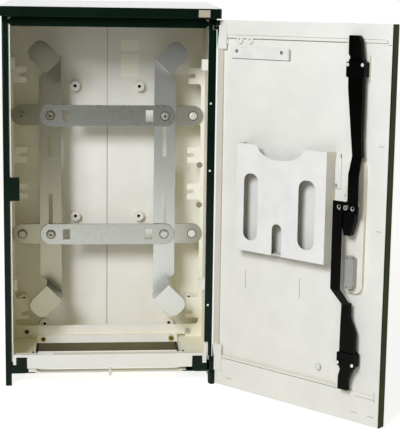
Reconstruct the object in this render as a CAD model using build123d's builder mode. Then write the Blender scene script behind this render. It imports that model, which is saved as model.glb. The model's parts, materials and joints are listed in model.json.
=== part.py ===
from build123d import *
from math import cos, radians, sin, sqrt
import os

# A roadside utility cabinet, shown with its door open on its stop.
# +Z is up and the door opening faces -Y. The origin is the centre of the four
# ground bolts, on the underside of the two base rails.

os.makedirs("parts", exist_ok=True)

# Outer body
body_width = 420.0
body_depth = 255.0
body_front = -125.0
body_top = 716.0
skirt_bottom = -25.0
sheet = 2.0
bend = 2.5
left_flange = 12.5
right_flange = 16.0
right_flange_foot = 8.0
foot_flange_top = 63.0
back_flange = 15.0
header_drop = 17.0
header_corner = 6.0

# Roof hood
roof_side_overhang = 7.0
roof_front_overhang = 25.0
roof_back_overhang = 8.0
roof_lip = 19.0
roof_rise = 13.0
roof_corner = 4.0
ridge_inset = 19.0
ridge_depth = 60.0
roof_post_inset = 60.0
roof_post_y = 75.0
roof_post = 16.0

# Base rails, front tie and floor plates. Distances called inset are from the outside
# of the side wall
ground_bolt_inset = 32.0
ground_bolt_front = 45.0
ground_bolt_back = 50.0
ground_bolt = 4.5
base_rail_width = 58.0
base_rail_height = 22.5
rail_plate_inset = 9.0
rail_plate_corner = 5.0
sill_shoulder = 18.0
left_tab_insets = (22.0, 43.0)
right_tab_insets = (19.3, 39.5)
tab_height = 33.0
tie_depth = 20.0
tie_lap = 8.0
tie_stop_inset = 46.0
tie_stop_width = 16.0
tie_stop_height = 10.0
floor_opening_inset = 55.5
floor_front = -115.0
knockout_end = -40.0
knockout_step = 5.5
knockout_pitch = 15.0
knockout_nib = 2.0

# Lining
liner_sheet = 1.5
liner_fold = 2.0
liner_lip = 16.0
seam_gap = 1.0
boss = 11.0
boss_height = 12.0
boss_bore = 3.5
boss_sides = 32
boss_x = 69.3
boss_low = 284.5
boss_high_drop = 147.2
foot_bosses = ((72.0, 42.0), (27.5, 100.0))
clip_low = 164.0
clip_high_drop = 92.5
clip_size = (16.5, 12.0, 23.0)
clip_corner = 3.0
clip_y = -30.0

# Comb strips whose slotted ears carry the strap frame
comb_back_gap = 65.0
comb_strip = 8.0
comb_top_drop = 91.0
comb_leg = 20.0
ear_inset = 39.0
ear_height = 34.0
tall_ear = 46.0
ear_slot = 9.0
ear_slot_inset = 23.5
ear_root_corner = 6.5
top_ear_drop = 30.0
middle_ears = (0.3588, 0.6686)
low_ear = 89.0
low_slot = 78.0
foot_ear_top = 52.0
foot_ear_inset = 35.0
foot_ear_z = 38.0
foot_ear_hole = 3.5

# Strap frame
strap = 3.0
strap_width = 46.0
strap_inset = 65.4
strap_low = 120.5
strap_high_drop = 80.5
strap_slot = 8.5
slot_hidden_end = 16.0
slot_reach = 88.0
tab_stand = 66.0
tab_length = 57.0
tab_corner = 18.0
cross_height = 45.0
cross_heights = (0.2612, 0.7563)
cross_window_inset = 18.1
cross_window = 15.5
cross_window_high = 24.0
cross_window_low = 21.5
link_bolt_inset = 28.0
link_height = 44.0
bolt = 4.0
bolt_play = 0.25
bolt_flange = 8.5
bolt_flange_thick = 1.6
bolt_head = 7.5
bolt_head_thick = 4.5
nut_thick = 6.5
bolt_tail = 2.5
round_sides = 16
overcut = 1.0
touching = 0.01

# Cable clamp rail
rail_body_inset = 57.5
rail_top = 52.0
rail_step = 30.0
rail_foot = 15.0
rail_forward = 10.0
rail_corner = 3.0
rail_hole_inset = 71.0
rail_hole_z = 23.5
rail_hole = 3.2
rail_ring = 6.0
rail_ring_thick = 1.0
rail_screw_head = 2.5
screw_slot = 1.2
rail_bolt = 3.0
rail_bolt_head = 6.0
rail_bolt_head_thick = 4.0
rail_nut_thick = 5.0

# Sill
sill_sheet = 1.5
sill_left_inset = 15.3
sill_right_inset = 10.4
sill_bottom = 10.0
sill_top = 38.5
sill_play = 0.5
sill_flange_back = -106.0
sill_flange_inset = 17.5
sill_back_lip = 5.0
sill_notch_insets = (64.5, 95.5)
pin_x = 2.0
pin_y = -118.0
pin_radius = 3.0
pin_tip = 1.0
pin_bottom = -8.0
pin_top = 12.0

# Door leaf in its own frame: U from the hinge edge, V up, W from the rim towards
# the inside of the cabinet. The leaf rests at its open stop.
open_angle = 132.45
hinge_out = 0.5
hinge_forward = 2.0
hinge_to_edge = 1.5
hinge_to_rim = 1.0
door_narrower = 10.0
door_bottom = -22.5
door_top_gap = 0.5
door_thick = 18.0
edge_reveal = 2.3
corner_notch = 5.5
notch_drop = 19.5
notch_low_v = 33.0
recess_depth = 4.0
recess_near = 14.5
recess_far_gap = 11.0
recess_low_gap = 3.0
recess_high_gap = 8.0
recess_corner = 5.0

# Hinges
knuckle = 6.5
pin = 3.0
pin_play = 0.2
knuckle_gap = 0.3
block_boss = 6.0
block_height = 10.2
high_knuckle = 8.0
low_block_top = 6.0
low_knuckle = 25.7
low_pin_short = 3.0
block_arm_outer = 2.0
high_arm_inset = 14.0
low_arm_inset = 7.0
block_arm_depth = 6.0
body_notch_inset = 8.0
body_notch_depth = 7.0
hinge_plate = 2.5
hinge_plate_width = 24.0
high_plate_drop = 36.0
low_plate_v = 62.0

# Strike for the latch tongue, folded out of the left flange
strike_inset = 31.4
strike_below = 30.4
strike_above = 16.6
strike_return = 8.0

# Three point lock
spindle_from_edge = 68.0
spindle_v = 386.0
spindle = 5.0
spindle_stem = 2.5
stem_play = 1.0
turn_play = 0.25
crank = 16.0
crank_pin = 3.0
dish_half = 21.0
dish_share = 0.595
dish_above = 84.0
dish_corner = 15.0
dish_face = 3.0
dish_wall = 2.0
dish_rim = 6.0
collar = 11.0
tongue_back = 14.0
cam_back = 21.0
cam_front = 25.5
tongue = ((17.0, 0.0), (14.0, -28.0), (7.0, -52.0))
layer_gap = 0.5
layer = 2.5
rod_back = 7.5
rod_front = 16.5
yoke_inner = 7.0
yoke_half = 10.0
upper_yoke_side = 25.0
lower_yoke_side = 31.5
slot_lead = 3.4
rivet_head = 4.5
rivet_head_thick = 1.8
rivet_gap = 0.2
rod_tip_drop = 20.9
rod_near = 15.0
rod_far = 17.0
lower_rod_bottom = 40.0
guide_wall = 3.0
guide_play = 0.5
guide_foot = 6.0
guide_foot_far = 8.0
upper_guide_drop = 46.6
upper_guide_length = 28.0
lower_guide_rise = 46.0
lower_guide_length = 26.0
guide_cap = 2.0
tip_flare = 4.0
neck_inset = 3.0
slide_room = 1.0
bend_side = 0.5
upper_bend = (0.248, 0.385)
upper_taper = 0.521
lower_bend = (0.668, 0.562)
lower_taper = (0.752, 0.861)
flare_gap = 7.0
housing_half = 9.5
housing_facet = 6.0
housing_shares = (0.54, 0.35)
housing_neck = 7.0
neck_reach = 4.0
housing_front = 22.0
plug = 6.0
plug_share = 0.4526
plug_face = -15.0
key_slot = 8.4
key_slot_depth = 6.0

# Outside swing handle
hub = 14.0
hub_depth = 9.0
hub_gap = 0.5
grip_thick = 11.0
grip_width = 24.0
grip_length = 150.0
grip_root = 12.0
grip_root_length = 12.0
grip_gap = 1.5
cheek = 4.0
cheek_half = 9.0
pivot_offset = 4.0
handle_pin = 2.5

# Things on the inside of the door
pocket_left = 76.0
pocket_lock_gap = 50.0
pocket_bottom = 272.0
pocket_height = 210.0
pocket_depth = 30.0
pocket_wall = 2.0
pocket_slots = ((0.09, 0.252), (0.708, 0.887))
pocket_slot_rise = 22.5
pocket_slot_height = 130.5
pocket_slot_round = 0.44
pocket_notch = (0.422, 0.531)
pocket_notch_height = 62.0
thumb = (0.236, 0.741)
thumb_drop = 26.0
pocket_skirt = 16.0
pocket_ear_width = 13.0
pocket_ear_rise = 141.0
pocket_ear_height = 57.0
label_left = 34.0
label_width = 144.0
label_top_gap = 24.0
label_height = 21.0
label_sheet = 1.5
label_tip = 6.0
high_button_drop = 6.0
high_button_starts = (53.0, 76.0)
low_button = (76.0, 30.0)
button = 5.0
button_height = 3.0

# Worked out from the sizes above
half = body_width / 2
body_back = body_front + body_depth
ground_bolt_y = (body_front + ground_bolt_front, body_back - ground_bolt_back)
wall = half - sheet
lining = wall - liner_sheet
flange_back = body_front + sheet
plate_back = flange_back + sheet
back_face = body_back - sheet
back_lining = back_face - liner_sheet
wall_end = back_face + sheet - bend
header_bottom = body_top - header_drop
roof_bottom = body_top + sheet
rail_inner = wall - base_rail_width
rail_plate_outer = half - rail_plate_inset
left_tab = tuple(sorted(inset - half for inset in left_tab_insets))
right_tab = tuple(sorted(half - inset for inset in right_tab_insets))
floor_top = base_rail_height + liner_sheet
liner_lip_end = half - liner_lip
boss_spots = [(boss_x, boss_low), (boss_x, body_top - boss_high_drop)]
boss_spots += [(half - inset, z) for inset, z in foot_bosses]
clip_heights = (clip_low, body_top - clip_high_drop)

# The strap frame hangs between the side walls, in front of the comb strips
comb_y = body_back - comb_back_gap
comb_top = body_top - comb_top_drop
ear_tip = half - ear_inset
ear_slot_end = half - ear_slot_inset
link_front = comb_y - strap
strap_front = link_front - strap
cross_front = strap_front - strap
tab_front = link_front - tab_stand
strap_outer = half - strap_inset
strap_inner = strap_outer - strap_width
strap_slot_x = (strap_inner + strap_outer) / 2
strap_high = body_top - strap_high_drop
cross_low = strap_low + cross_heights[0] * (strap_high - strap_low)
cross_high = strap_low + cross_heights[1] * (strap_high - strap_low)
middle_ear_z = [cross_low + share * (cross_high - cross_low) for share in middle_ears]
link_bolt_x = half - link_bolt_inset
rail_tab_end = link_bolt_x
foot_ear_x = half - foot_ear_inset
rail_hole_x = half - rail_hole_inset

# Each ear: its height, its size and the height of its slot
ears = (
    (comb_top - top_ear_drop, ear_height, comb_top - top_ear_drop),
    (cross_high, ear_height, cross_high),
    (middle_ear_z[1], ear_height, middle_ear_z[1]),
    (middle_ear_z[0], ear_height, middle_ear_z[0]),
    (cross_low, ear_height, cross_low),
    (low_ear, tall_ear, low_slot),
)

# The door leaf and the places on it
hinge_x = half + hinge_out
hinge_y = body_front - hinge_forward
door_width = body_width - door_narrower
door_top = body_top - door_top_gap
notch_high_v = door_top - notch_drop
high_block_bottom = door_top - block_height
high_knuckle_top = high_block_bottom - knuckle_gap
high_knuckle_bottom = high_knuckle_top - high_knuckle
low_knuckle_bottom = low_block_top + knuckle_gap
low_knuckle_top = low_knuckle_bottom + low_knuckle
skin_face = -door_thick
recess_u = (recess_near, door_width - recess_far_gap)
recess_v = (notch_low_v + recess_low_gap, notch_high_v - recess_high_gap)
spindle_u = door_width - spindle_from_edge
pivot_u = spindle_u - pivot_offset
grip_front = skin_face - sheet - grip_gap
grip_mid = grip_front - grip_thick / 2
cheek_inner = grip_root / 2 + turn_play
strike_inner = half - strike_inset

# Lock layers, from the back: tongue and cam, lower rod, upper rod
lower_back = cam_front + layer_gap
lower_front = lower_back + layer
upper_back = lower_front + layer_gap
upper_front = upper_back + layer
upper_rod_top = door_top - rod_tip_drop
guided = (spindle_u - rod_near, spindle_u + rod_far)
upper_guide_top = upper_rod_top - upper_guide_drop
upper_guide_v = (upper_guide_top - upper_guide_length, upper_guide_top)
lower_guide_bottom = lower_rod_bottom + lower_guide_rise
lower_guide_v = (lower_guide_bottom, lower_guide_bottom + lower_guide_length)
lower_reach = spindle_v - lower_guide_v[1]
plug_v = spindle_v - plug_share * lower_reach
dish_v = (spindle_v - dish_share * lower_reach, spindle_v + dish_above)

# Places on the door's lining
pocket_u = (pocket_left, spindle_u - pocket_lock_gap)
pocket_width = pocket_u[1] - pocket_u[0]
pocket_v = (pocket_bottom, pocket_bottom + pocket_height)
label_u = (label_left, label_left + label_width)
label_v = (recess_v[1] - label_top_gap - label_height, recess_v[1] - label_top_gap)
button_spots = [(u, recess_v[1] - high_button_drop) for u in high_button_starts]
button_spots.append((spindle_u - low_button[0], recess_v[0] + low_button[1]))

swing = radians(open_angle)
along = Vector(-cos(swing), -sin(swing), 0)
inward = Vector(-sin(swing), cos(swing), 0)
leaf_edge = Vector(hinge_x, hinge_y, 0) + along * hinge_to_edge - inward * hinge_to_rim


def facing(y):
    """A sketch plane seen from the door opening: X right, Z up, extruding towards the viewer."""
    return Plane.XZ.offset(-y)


def leaf(w):
    """A sketch plane on the door at W: U along the leaf, V up, extruding towards the inside."""
    return Plane(origin=leaf_edge + inward * w, x_dir=along, z_dir=inward)


def across(u):
    """A sketch plane across the door at U: first W, then V, extruding towards the hinge edge."""
    return Plane(origin=leaf_edge + along * u, x_dir=inward, z_dir=along * -1)


def level(v):
    """A sketch plane on the door at height V: U along the leaf, then -W, extruding up."""
    return Plane(origin=leaf_edge + Vector(0, 0, v), x_dir=along, z_dir=(0, 0, 1))


def block(x_range, y_range):
    """A rectangle between two corners, in the sketch being drawn."""
    with Locations(((x_range[0] + x_range[1]) / 2, (y_range[0] + y_range[1]) / 2)):
        Rectangle(x_range[1] - x_range[0], y_range[1] - y_range[0])


def rounded(spots, radius, mode=Mode.ADD):
    """Small round sections with few flats, in the sketch being drawn."""
    with Locations(*spots):
        RegularPolygon(radius, round_sides, mode=mode)


def finish(builder, name):
    """Label a finished piece and write it."""
    builder.part.label = name
    export_step(builder.part, f"parts/{name}.step")


def folded(points, thickness, radius):
    """The section of a sheet folded along a line of points, lying on their left."""
    with BuildSketch() as section:
        with BuildLine():
            FilletPolyline(*points, radius=radius)
            offset(amount=thickness, side=Side.LEFT)
        make_face()
    return section.sketch


# Side panels: one folded sheet each. The left one has the strike for the latch
# tongue; the right one is cut away for the hinge blocks
def side_panel(flange):
    points = [(half - flange, body_front), (half, body_front), (half, body_back)]
    points.append((half - back_flange, body_back))
    with BuildPart() as panel:
        with BuildSketch(Plane.XY.offset(skirt_bottom)):
            add(folded(points, sheet, bend))
        extrude(amount=body_top - skirt_bottom)
    return panel.part


with BuildPart() as left_side_panel:
    add(side_panel(left_flange))
    strike_points = [(half - left_flange, body_front), (strike_inner, body_front)]
    strike_points.append((strike_inner, body_front + strike_return + sheet))
    with BuildSketch(Plane.XY.offset(spindle_v - strike_below)):
        add(folded(strike_points[::-1], sheet, bend))
    extrude(amount=strike_below + strike_above)
    mirror(about=Plane.YZ, mode=Mode.REPLACE)
finish(left_side_panel, "left_side_panel")

with BuildPart() as right_side_panel:
    add(side_panel(right_flange))
    with BuildSketch(facing(flange_back)):
        block((half - right_flange, half - right_flange_foot), (skirt_bottom, foot_flange_top))
    extrude(amount=sheet, mode=Mode.SUBTRACT)
    for low, high in ((skirt_bottom, notch_low_v), (notch_high_v, body_top)):
        with BuildSketch(Plane.XY.offset(low)):
            block((half - body_notch_inset, half), (body_front, body_front + body_notch_depth))
        extrude(amount=high - low, mode=Mode.SUBTRACT)
finish(right_side_panel, "right_side_panel")

with BuildPart() as back_panel:
    with BuildSketch(facing(body_back)):
        block((back_flange - half, half - back_flange), (skirt_bottom, body_top))
    extrude(amount=sheet)
finish(back_panel, "back_panel")

# Top panel: lies on the walls and folds down in front as the header
with BuildPart() as top_panel:
    with BuildSketch(Plane.XY.offset(body_top)):
        block((-half, half), (body_front, body_back))
    extrude(amount=sheet)
    with BuildSketch(facing(flange_back)):
        block((left_flange - half, half - right_flange), (header_bottom, body_top))
        chamfer(vertices().group_by(Axis.Z)[0], length=header_corner)
    extrude(amount=sheet)
finish(top_panel, "top_panel")


# Roof hood: a lip all round under a low hipped top, with its corners cut off
def hood_outline(width, depth, middle, inset):
    with Locations((0, middle)):
        Rectangle(width, depth)
    chamfer(vertices(), length=roof_corner - inset)


def hood_block(inset):
    width = body_width + 2 * roof_side_overhang - 2 * inset
    front = body_front - roof_front_overhang + inset
    back = body_back + roof_back_overhang - inset
    eaves = roof_bottom + roof_lip - inset
    with BuildPart() as hood:
        with BuildSketch(Plane.XY.offset(roof_bottom)):
            hood_outline(width, back - front, (front + back) / 2, inset)
        extrude(amount=roof_lip - inset)
        with BuildSketch(Plane.XY.offset(eaves)):
            hood_outline(width, back - front, (front + back) / 2, inset)
        with BuildSketch(Plane.XY.offset(eaves + roof_rise)):
            hood_outline(width - 2 * ridge_inset, ridge_depth, (front + back) / 2, inset)
        loft(ruled=True)
    return hood.part


with BuildPart() as roof_hood:
    add(hood_block(0))
    add(hood_block(sheet), mode=Mode.SUBTRACT)
finish(roof_hood, "roof_hood")

with BuildPart() as roof_posts:
    with BuildSketch(Plane.XY.offset(roof_bottom)):
        with GridLocations(2 * (half - roof_post_inset), 2 * roof_post_y, 2, 2):
            Rectangle(roof_post, roof_post)
    extrude(amount=roof_lip + roof_rise)
    add(hood_block(sheet), mode=Mode.INTERSECT)
finish(roof_posts, "roof_posts")


# Base rails: an angle along each wall and a front plate whose tab locates the sill
def base_rail(side, tab):
    ground_bolt_x = half - ground_bolt_inset
    with BuildPart() as rail:
        with BuildSketch():
            block((rail_inner, wall), (plate_back, wall_end))
            with Locations(*[(ground_bolt_x, y) for y in ground_bolt_y]):
                Circle(ground_bolt, mode=Mode.SUBTRACT)
        extrude(amount=sheet)
        with BuildSketch():
            block((wall - sheet, wall), (floor_front, wall_end))
        extrude(amount=base_rail_height)
        with BuildSketch(Plane.XY.offset(-overcut)):
            block((rail_plate_outer, wall + overcut), (plate_back, floor_front))
        extrude(amount=sheet + 2 * overcut, mode=Mode.SUBTRACT)
        if side < 0:
            mirror(about=Plane.YZ, mode=Mode.REPLACE)
        inner = tab[0] if side > 0 else -tab[1]
        outer = tab[1] if side > 0 else -tab[0]
        plate = [
            (inner + rail_plate_corner, 0),
            (rail_plate_outer, 0),
            (rail_plate_outer, sill_shoulder),
            (outer, sill_shoulder),
            (outer, tab_height),
            (inner, tab_height),
            (inner, rail_plate_corner),
        ]
        with BuildSketch(facing(plate_back)):
            with BuildLine():
                Polyline(*[(side * x, z) for x, z in plate], close=True)
            make_face()
        extrude(amount=sheet)
    return rail


finish(base_rail(-1, left_tab), "left_base_rail")
finish(base_rail(1, right_tab), "right_base_rail")

# Front tie: a flat bar between the rails, lapped on them, with a stop at its left end
with BuildPart() as front_tie:
    with BuildSketch():
        block((-rail_inner, rail_inner), (flange_back, flange_back + tie_depth))
        rounded([(pin_x, pin_y)], pin_radius, Mode.SUBTRACT)
    extrude(amount=sheet)
    for side in (-1, 1):
        with BuildSketch(Plane.XY.offset(sheet)):
            with Locations((side * rail_inner, plate_back)):
                Rectangle(2 * tie_lap, tie_depth - sheet, align=(Align.CENTER, Align.MIN))
        extrude(amount=liner_sheet)
    stop_x = (tie_stop_inset - half, tie_stop_inset - half + tie_stop_width)
    with BuildSketch(facing(plate_back + 2 * sheet)):
        block(stop_x, (sheet, tie_stop_height))
    extrude(amount=sheet)
    with BuildSketch(Plane.XY.offset(sheet)):
        block(stop_x, (plate_back, plate_back + 2 * sheet))
    extrude(amount=liner_sheet)
finish(front_tie, "front_tie")


# Floor plates: folded sheets on the base rails with a broken knock-out edge in front
def floor_plate(side):
    edge = half - floor_opening_inset
    step = edge + knockout_step
    nibs = int((knockout_end - floor_front) // knockout_pitch)
    with BuildPart() as plate:
        with BuildSketch(Plane.XY.offset(base_rail_height)):
            block((edge, wall), (floor_front, wall_end))
            with Locations(((edge + step) / 2, (floor_front + knockout_end) / 2)):
                Rectangle(knockout_step, knockout_end - floor_front, mode=Mode.SUBTRACT)
            for nib in range(1, nibs + 1):
                with Locations((step, floor_front + nib * knockout_pitch)):
                    Rectangle(2 * knockout_nib, knockout_nib)
        extrude(amount=liner_sheet)
        with BuildSketch(Plane.XY.offset(sheet)):
            block((edge, edge + liner_sheet), (knockout_end, wall_end))
        extrude(amount=base_rail_height - sheet)
        if side < 0:
            mirror(about=Plane.YZ, mode=Mode.REPLACE)
    return plate


finish(floor_plate(-1), "left_floor_plate")
finish(floor_plate(1), "right_floor_plate")


# Side lining: a flat sheet along the wall with a lip behind the front flange
def side_liner(side):
    points = [(liner_lip_end, plate_back), (wall, plate_back), (wall, wall_end)]
    with BuildPart() as liner:
        with BuildSketch(Plane.XY.offset(floor_top)):
            add(folded(points, liner_sheet, liner_fold))
        extrude(amount=body_top - floor_top)
        if side > 0:
            for low, high in ((floor_top, notch_low_v), (notch_high_v, body_top)):
                with BuildSketch(Plane.XY.offset(low)):
                    block((liner_lip_end, wall), (plate_back, floor_front))
                extrude(amount=high - low, mode=Mode.SUBTRACT)
        if side < 0:
            mirror(about=Plane.YZ, mode=Mode.REPLACE)
    return liner


finish(side_liner(-1), "left_side_liner")
finish(side_liner(1), "right_side_liner")


# Comb strips: an angle on the side lining whose front leg is cut into slotted ears
def comb(side):
    with BuildPart() as strip:
        with BuildSketch(facing(comb_y + sheet)):
            block((lining - comb_strip, lining), (floor_top, comb_top))
            for height, size, slot_z in ears:
                block((ear_tip, lining), (height - size / 2, height + size / 2))
            block((ear_tip, lining), (floor_top, foot_ear_top))
            roots = vertices().filter_by(lambda v: abs(v.X - lining + comb_strip) < touching)
            inner = roots.sort_by(Axis.Z)[:-1]
            fillet(inner, radius=ear_root_corner)
            slot_run = ear_slot_end - ear_slot / 2 - ear_tip
            with Locations(*[(ear_tip, slot_z) for height, size, slot_z in ears]):
                SlotCenterToCenter(2 * slot_run, ear_slot, mode=Mode.SUBTRACT)
            rounded([(foot_ear_x, foot_ear_z)], foot_ear_hole, Mode.SUBTRACT)
        extrude(amount=sheet)
        with BuildSketch(Plane.XY.offset(floor_top)):
            block((lining - sheet, lining), (comb_y + sheet, comb_y + comb_leg))
        extrude(amount=comb_top - floor_top)
        if side < 0:
            mirror(about=Plane.YZ, mode=Mode.REPLACE)
    return strip


finish(comb(-1), "left_comb")
finish(comb(1), "right_comb")


# Back lining in two sheets that meet at the middle
def back_liner(side):
    with BuildPart() as liner:
        with BuildSketch(facing(back_face)):
            block((seam_gap / 2, lining), (floor_top, body_top))
        extrude(amount=liner_sheet)
        if side < 0:
            mirror(about=Plane.YZ, mode=Mode.REPLACE)
    return liner


finish(back_liner(-1), "left_back_liner")
finish(back_liner(1), "right_back_liner")

with BuildPart() as back_bosses:
    with BuildSketch(facing(back_lining)):
        with Locations(*[(side * x, z) for side in (-1, 1) for x, z in boss_spots]):
            RegularPolygon(boss, boss_sides)
            Circle(boss_bore, mode=Mode.SUBTRACT)
    extrude(amount=boss_height)
finish(back_bosses, "back_bosses")

with BuildPart() as liner_clips:
    for side in (-1, 1):
        for z in clip_heights:
            with BuildSketch(Plane.XY.offset(z - clip_size[2] / 2)):
                with Locations((side * (lining - clip_size[0] / 2), clip_y)):
                    Rectangle(clip_size[0], clip_size[1])
                    free_corners = vertices().filter_by(lambda v: abs(v.X) < lining - 1 and v.X * side > 0)
                    chamfer(free_corners, length=clip_corner)
            extrude(amount=clip_size[2])
finish(liner_clips, "liner_clips")


# Vertical straps: a flat bar with slanting ends, folded forward along each slant
# and again outwards as a mounting tab
def vertical_strap(side):
    reach = tab_length / sqrt(2)
    run = strap_width / sqrt(2)
    back = strap / sqrt(2)
    with BuildPart() as bar:
        with BuildSketch(facing(link_front)):
            with BuildLine():
                Polyline(
                    (strap_inner, strap_low),
                    (strap_outer, strap_low + strap_width),
                    (strap_outer, strap_high - strap_width),
                    (strap_inner, strap_high),
                    close=True,
                )
            make_face()
            for low, high in (
                (cross_low - slot_hidden_end, cross_low + slot_reach),
                (cross_high - slot_reach, cross_high + slot_hidden_end),
            ):
                with Locations((strap_slot_x, (low + high) / 2)):
                    SlotOverall(high - low, strap_slot, rotation=90, mode=Mode.SUBTRACT)
        extrude(amount=strap)
        for start, turn in ((strap_high, -1), (strap_low, 1)):
            web = [
                (strap_inner, start),
                (strap_inner + run, start + turn * run),
                (strap_inner + run - back, start + turn * (run + back)),
                (strap_inner - back, start + turn * back),
            ]
            with BuildSketch(facing(link_front)):
                with BuildLine():
                    Polyline(*web, close=True)
                make_face()
            extrude(amount=link_front - tab_front)
            ear = [
                (strap_inner - back, start + turn * back),
                (strap_inner + run - back, start + turn * (run + back)),
                (strap_inner + run + reach, start + turn * (run - reach)),
                (strap_inner + reach, start - turn * reach),
            ]
            with BuildSketch(facing(tab_front + strap)):
                with BuildLine():
                    Polyline(*ear, close=True)
                make_face()
                tips = vertices().sort_by(lambda v: v.X - turn * v.Z)
                fillet(tips[-2:], radius=tab_corner)
            extrude(amount=strap)
        with BuildSketch(facing(link_front)):
            Rectangle(2 * strap_inner, 3 * strap_high)
        extrude(amount=strap, mode=Mode.SUBTRACT)
        if side < 0:
            mirror(about=Plane.YZ, mode=Mode.REPLACE)
    return bar


finish(vertical_strap(-1), "left_vertical_strap")
finish(vertical_strap(1), "right_vertical_strap")


# Crossbars in front of the vertical straps: round ends about the bolts, and a window
# near each end
def crossbar(height, window):
    window_x = strap_inner - cross_window_inset + cross_window / 2
    with BuildPart() as bar:
        with BuildSketch(facing(strap_front)):
            with Locations((0, height)):
                SlotCenterToCenter(2 * strap_slot_x, cross_height)
            with Locations((-window_x, height), (window_x, height)):
                Rectangle(cross_window, window, mode=Mode.SUBTRACT)
            rounded([(-strap_slot_x, height), (strap_slot_x, height)], bolt + bolt_play, Mode.SUBTRACT)
        extrude(amount=strap)
    return bar


finish(crossbar(cross_high, cross_window_high), "upper_crossbar")
finish(crossbar(cross_low, cross_window_low), "lower_crossbar")


# Link straps behind the vertical straps, reaching out to the comb ears
def link_straps(height):
    with BuildPart() as links:
        with BuildSketch(facing(comb_y)):
            block((strap_inner, link_bolt_x), (height - link_height / 2, height + link_height / 2))
            with Locations((link_bolt_x, height)):
                Circle(link_height / 2)
            rounded([(strap_slot_x, height), (link_bolt_x, height)], bolt + bolt_play, Mode.SUBTRACT)
        extrude(amount=strap)
        mirror(about=Plane.YZ)
    return links


finish(link_straps(cross_high), "upper_links")
finish(link_straps(cross_low), "lower_links")

# Flanged bolts with their nuts, at the crossings and at the ears
bolt_seats = ((strap_slot_x, cross_front, comb_y), (link_bolt_x, link_front, comb_y + sheet))


def seat_spots(x):
    return [(side * x, z) for side in (-1, 1) for z in (cross_low, cross_high)]


with BuildPart() as frame_bolts:
    for x, head_y, nut_y in bolt_seats:
        tail_y = nut_y + nut_thick + bolt_tail
        with BuildSketch(facing(tail_y)):
            rounded(seat_spots(x), bolt)
        extrude(amount=tail_y - head_y)
        with BuildSketch(facing(head_y)):
            rounded(seat_spots(x), bolt_flange)
        extrude(amount=bolt_flange_thick)
        with BuildSketch(facing(head_y - bolt_flange_thick)):
            with Locations(*seat_spots(x)):
                RegularPolygon(bolt_head, 6)
        extrude(amount=bolt_head_thick)
finish(frame_bolts, "frame_bolts")

with BuildPart() as frame_nuts:
    for x, head_y, nut_y in bolt_seats:
        with BuildSketch(facing(nut_y + nut_thick)):
            with Locations(*seat_spots(x)):
                RegularPolygon(bolt_head, 6)
            rounded(seat_spots(x), bolt, Mode.SUBTRACT)
        extrude(amount=nut_thick)
finish(frame_nuts, "frame_nuts")


# Cable clamp rail across the bottom opening, screwed to the lowest comb ears
rail_lip = comb_y - rail_forward - sheet
rail_holes = [(-rail_hole_x, rail_hole_z), (rail_hole_x, rail_hole_z)]
with BuildPart() as clamp_rail:
    with BuildSketch(facing(comb_y)):
        block((-rail_tab_end, rail_tab_end), (rail_step, rail_top))
        chamfer(vertices(), length=rail_corner)
        rounded([(-foot_ear_x, foot_ear_z)], foot_ear_hole, Mode.SUBTRACT)
        rounded([(foot_ear_x, foot_ear_z)], rail_bolt, Mode.SUBTRACT)
    extrude(amount=sheet)
    rail_body = (rail_body_inset - half, half - rail_body_inset)
    with BuildSketch(Plane.XY.offset(rail_step)):
        block(rail_body, (rail_lip, comb_y))
    extrude(amount=sheet)
    with BuildSketch(facing(rail_lip + sheet)):
        block(rail_body, (rail_foot, rail_step + sheet))
        rounded(rail_holes, rail_hole, Mode.SUBTRACT)
    extrude(amount=sheet)
finish(clamp_rail, "clamp_rail")

with BuildPart() as rail_grommet:
    with BuildSketch(facing(rail_lip)):
        rounded(rail_holes[:1], rail_ring)
        rounded(rail_holes[:1], rail_hole, Mode.SUBTRACT)
    extrude(amount=rail_ring_thick)
finish(rail_grommet, "rail_grommet")

with BuildPart() as rail_screw:
    with BuildSketch(facing(comb_y)):
        rounded(rail_holes[1:], rail_hole)
    extrude(amount=comb_y - rail_lip)
    with BuildSketch(facing(rail_lip)):
        rounded(rail_holes[1:], rail_ring)
    extrude(amount=rail_screw_head)
    with BuildSketch(facing(rail_lip - rail_screw_head)):
        with Locations(*rail_holes[1:]):
            Rectangle(screw_slot, 2 * rail_ring)
    extrude(amount=-screw_slot, mode=Mode.SUBTRACT)
finish(rail_screw, "rail_screw")

with BuildPart() as rail_bolt_set:
    with BuildSketch(facing(comb_y + sheet)):
        rounded([(foot_ear_x, foot_ear_z)], rail_bolt)
    extrude(amount=2 * sheet)
    nut_back = comb_y + sheet + rail_nut_thick
    for back, thick in ((nut_back, rail_nut_thick), (comb_y - sheet, rail_bolt_head_thick)):
        with BuildSketch(facing(back)):
            with Locations((foot_ear_x, foot_ear_z)):
                RegularPolygon(rail_bolt_head, 6)
        extrude(amount=thick)
finish(rail_bolt_set, "rail_bolt")

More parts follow.
